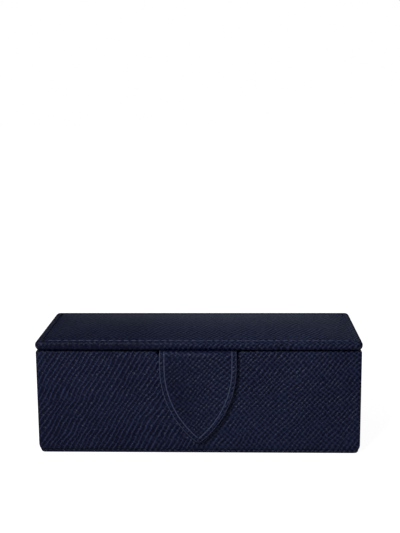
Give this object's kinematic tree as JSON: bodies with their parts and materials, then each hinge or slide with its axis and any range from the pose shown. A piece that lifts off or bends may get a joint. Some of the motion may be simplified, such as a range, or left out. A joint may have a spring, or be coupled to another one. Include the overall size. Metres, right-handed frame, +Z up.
{
  "type": "jewellery case",
  "caption": "Rigid leather-covered case with a padded hinged lid, a pointed magnetic closing tab and a suede interior with ring rolls and compartments.",
  "frame": {"origin": "centre of the case's flat underside, on the surface it stands on", "axes": "+X to the right along the length, +Y from the tab at the front to the hinge at the back, +Z up"},
  "size_m": [0.16, 0.066, 0.0595],
  "materials": {
    "outer_leather": "cross-grained, semi-matt",
    "tab_backing": "smooth, matt",
    "suede": "napped suede",
    "board": "grey millboard, matt",
    "foam": "open-cell foam",
    "thread": "waxed thread",
    "magnet": "nickel-plated"
  },
  "bodies": {
    "case": {"base_leather": "outer_leather", "case_leather": "outer_leather", "back_leather": "outer_leather", "hinge_fold": "outer_leather", "front_lining": "suede", "back_lining": "suede", "left_lining": "suede", "right_lining": "suede", "floor_lining": "suede", "ring_divider": "suede", "long_divider": "suede", "cross_divider": "suede", "ring_riser": "suede", "ring_roll_1": "suede", "ring_roll_2": "suede", "ring_roll_3": "suede", "ring_roll_4": "suede", "hinge_lining_case": "suede", "base_board": "board", "floor_board": "board", "front_board": "board", "back_board": "board", "left_board": "board", "right_board": "board", "floor_foam": "foam", "case_magnet": "magnet"},
    "lid": {"lid_board": "board", "lid_foam": "foam", "lid_infill": "board", "lid_leather": "outer_leather", "lid_stitching": "thread", "hinge_flap": "outer_leather", "hinge_lining_lid": "suede", "lid_lining_card": "board", "lid_lining": "suede", "tab_anchor": "outer_leather", "tab_anchor_lining": "tab_backing", "tab_fold": "outer_leather"},
    "tab": {"tab_leather": "outer_leather", "tab_stiffener": "board", "tab_magnet": "magnet", "tab_lining": "tab_backing", "tab_stitching": "thread"}
  },
  "joints": [
    {"name": "lid_hinge", "type": "hinge", "parent": "case", "child": "lid", "pos_m": [0, 0.0303, 0.0511], "axis": [-1, 0, 0], "range_deg": [0, 100], "deforming": ["hinge_fold"]},
    {"name": "tab_flex", "type": "hinge", "parent": "lid", "child": "tab", "pos_m": [0, -0.0316, 0.05], "axis": [-1, 0, 0], "range_deg": [0, 95], "stiffness_Nm_per_rad": 0.0015, "deforming": ["tab_fold"]}
  ]
}
